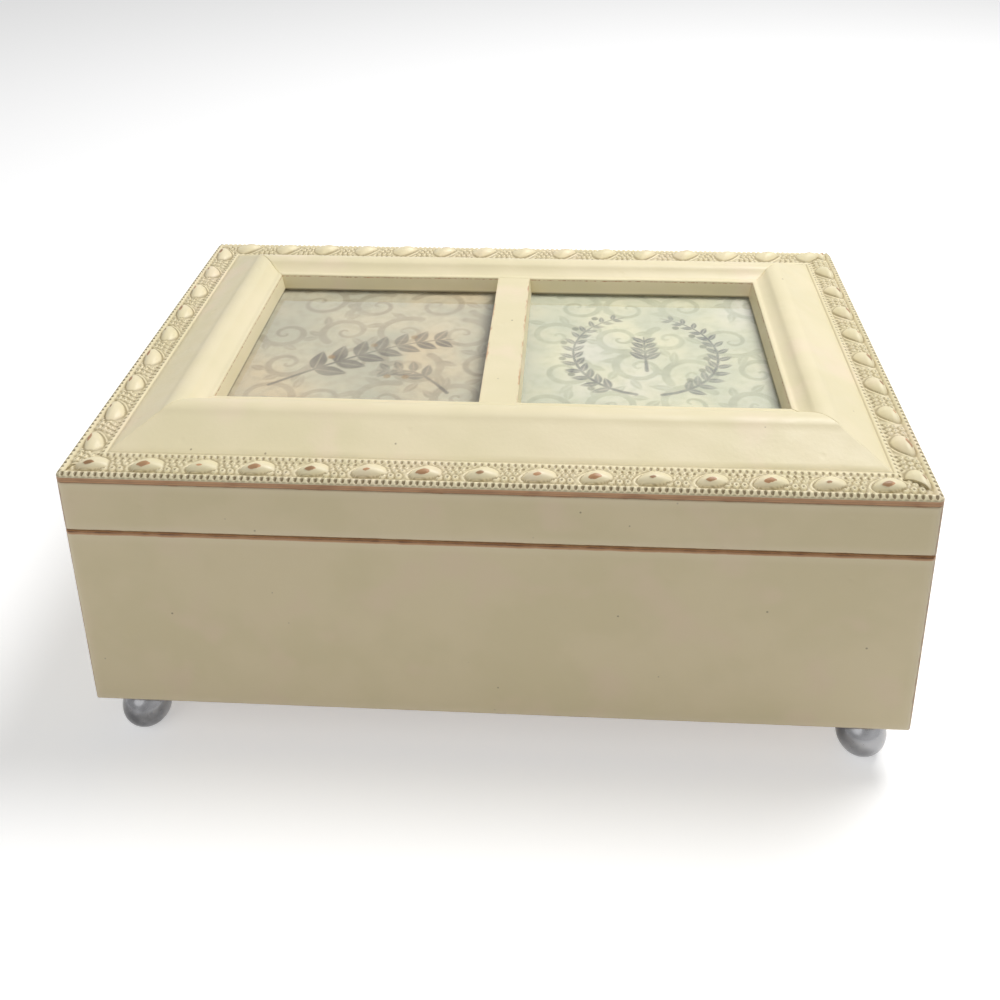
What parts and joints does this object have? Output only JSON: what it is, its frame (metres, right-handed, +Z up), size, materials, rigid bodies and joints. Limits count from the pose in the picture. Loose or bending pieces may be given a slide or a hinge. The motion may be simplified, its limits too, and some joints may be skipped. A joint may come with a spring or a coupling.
{
  "type": "music box",
  "caption": "Lidded wooden music box on ball feet, with two glazed picture windows in a moulded lid and a wind-up movement under a clear pane.",
  "frame": {"origin": "centre of the box's plan, at the height that the feet stand on", "axes": "+Z up, +X along the long side to the right, front facing -Y"},
  "size_m": [0.2032, 0.1294, 0.0887],
  "materials": {
    "painted_wood": "distressed ivory paint",
    "raw_wood": "plain",
    "pewter": "polished pewter",
    "lining": "velvet",
    "glass": "clear",
    "card": "printed card",
    "board": "hardboard",
    "brass": "satin",
    "steel": "polished",
    "casting": "nickel plated"
  },
  "bodies": {
    "base": {"base_front_wall": "painted_wood", "base_back_wall": "painted_wood", "base_left_wall": "painted_wood", "base_right_wall": "painted_wood", "bottom_panel": "board", "ball_feet": "pewter", "lining_floor": "lining", "lining_front": "lining", "lining_back": "lining", "lining_left": "lining", "lining_right": "lining", "divider": "painted_wood", "cover_cleats": "painted_wood", "movement_cover_pane": "glass", "hinge_base_leaves": "brass", "hinge_pins": "brass", "hinge_base_screws": "brass", "movement_bedplate": "casting", "movement_screws": "steel", "comb": "steel", "comb_screws": "brass", "cylinder_bearings": "casting", "governor_frame": "casting", "stop_bracket": "steel"},
    "lid": {"lid_front_skirt": "painted_wood", "lid_back_skirt": "painted_wood", "lid_left_skirt": "painted_wood", "lid_right_skirt": "painted_wood", "lid_moulding_front": "painted_wood", "lid_moulding_back": "painted_wood", "lid_moulding_left": "painted_wood", "lid_moulding_right": "painted_wood", "lid_mullion": "painted_wood", "glass_left": "glass", "glass_right": "glass", "picture_card_left": "card", "picture_card_right": "card", "backing_board_left": "board", "backing_board_right": "board", "turn_button_screws": "brass", "hinge_lid_leaves": "brass", "hinge_lid_screws": "brass"},
    "key": {"winding_key": "brass", "key_arbor": "steel"},
    "barrel": {"spring_barrel": "brass", "barrel_cover": "brass", "mainspring": "steel"},
    "cylinder": {"music_cylinder": "brass", "cylinder_arbor": "steel", "cylinder_pinion": "brass", "great_wheel": "brass"},
    "governor": {"governor_pinion": "steel", "governor_wheel": "brass"},
    "fly": {"governor_worm": "steel", "governor_fly": "brass"},
    "stop": {"stop_lever": "steel"},
    "button_front_left": {"turn_button_front_left": "brass"},
    "button_front_right": {"turn_button_front_right": "brass"},
    "button_back_left": {"turn_button_back_left": "brass"},
    "button_back_right": {"turn_button_back_right": "brass"}
  },
  "joints": [
    {"name": "lid_hinge", "type": "hinge", "parent": "base", "child": "lid", "pos_m": [0, 0.0644, 0.06655], "axis": [-1, 0, 0], "range_deg": [0, 95]},
    {"name": "key_turn", "type": "hinge", "parent": "base", "child": "key", "pos_m": [0.0468, 0, 0.01], "axis": [0, 0, 1], "continuous": true},
    {"name": "cylinder_turn", "type": "hinge", "parent": "base", "child": "cylinder", "pos_m": [0.0633, 0, 0.0372], "axis": [1, 0, 0], "continuous": true},
    {"name": "barrel_turn", "type": "hinge", "parent": "base", "child": "barrel", "pos_m": [0.0468, 0, 0.028], "axis": [0, 0, 1], "continuous": true},
    {"name": "governor_turn", "type": "hinge", "parent": "base", "child": "governor", "pos_m": [0.08, 0.00917, 0.03078], "axis": [1, 0, 0], "continuous": true},
    {"name": "fly_turn", "type": "hinge", "parent": "base", "child": "fly", "pos_m": [0.0849, 0.01667, 0.03], "axis": [0, 0, 1], "continuous": true},
    {"name": "stop_rock", "type": "hinge", "parent": "base", "child": "stop", "pos_m": [0.0849, 0.028, 0.042], "axis": [1, 0, 0], "range_deg": [0, 5]},
    {"name": "button_front_left_turn", "type": "hinge", "parent": "lid", "child": "button_front_left", "pos_m": [-0.0385, -0.0415, 0.07555], "axis": [0, 0, 1], "range_deg": [-90, 90]},
    {"name": "button_front_right_turn", "type": "hinge", "parent": "lid", "child": "button_front_right", "pos_m": [0.0385, -0.0415, 0.07555], "axis": [0, 0, 1], "range_deg": [-90, 90]},
    {"name": "button_back_left_turn", "type": "hinge", "parent": "lid", "child": "button_back_left", "pos_m": [-0.0385, 0.0415, 0.07555], "axis": [0, 0, 1], "range_deg": [-90, 90]},
    {"name": "button_back_right_turn", "type": "hinge", "parent": "lid", "child": "button_back_right", "pos_m": [0.0385, 0.0415, 0.07555], "axis": [0, 0, 1], "range_deg": [-90, 90]}
  ],
  "couplings": [
    {"joint": "barrel_turn", "follows": "cylinder_turn", "ratio": 0.37037},
    {"joint": "governor_turn", "follows": "cylinder_turn", "ratio": -6},
    {"joint": "fly_turn", "follows": "cylinder_turn", "ratio": 144},
    {"joint": "stop_rock", "follows": "lid_hinge", "ratio": 0.052632}
  ]
}
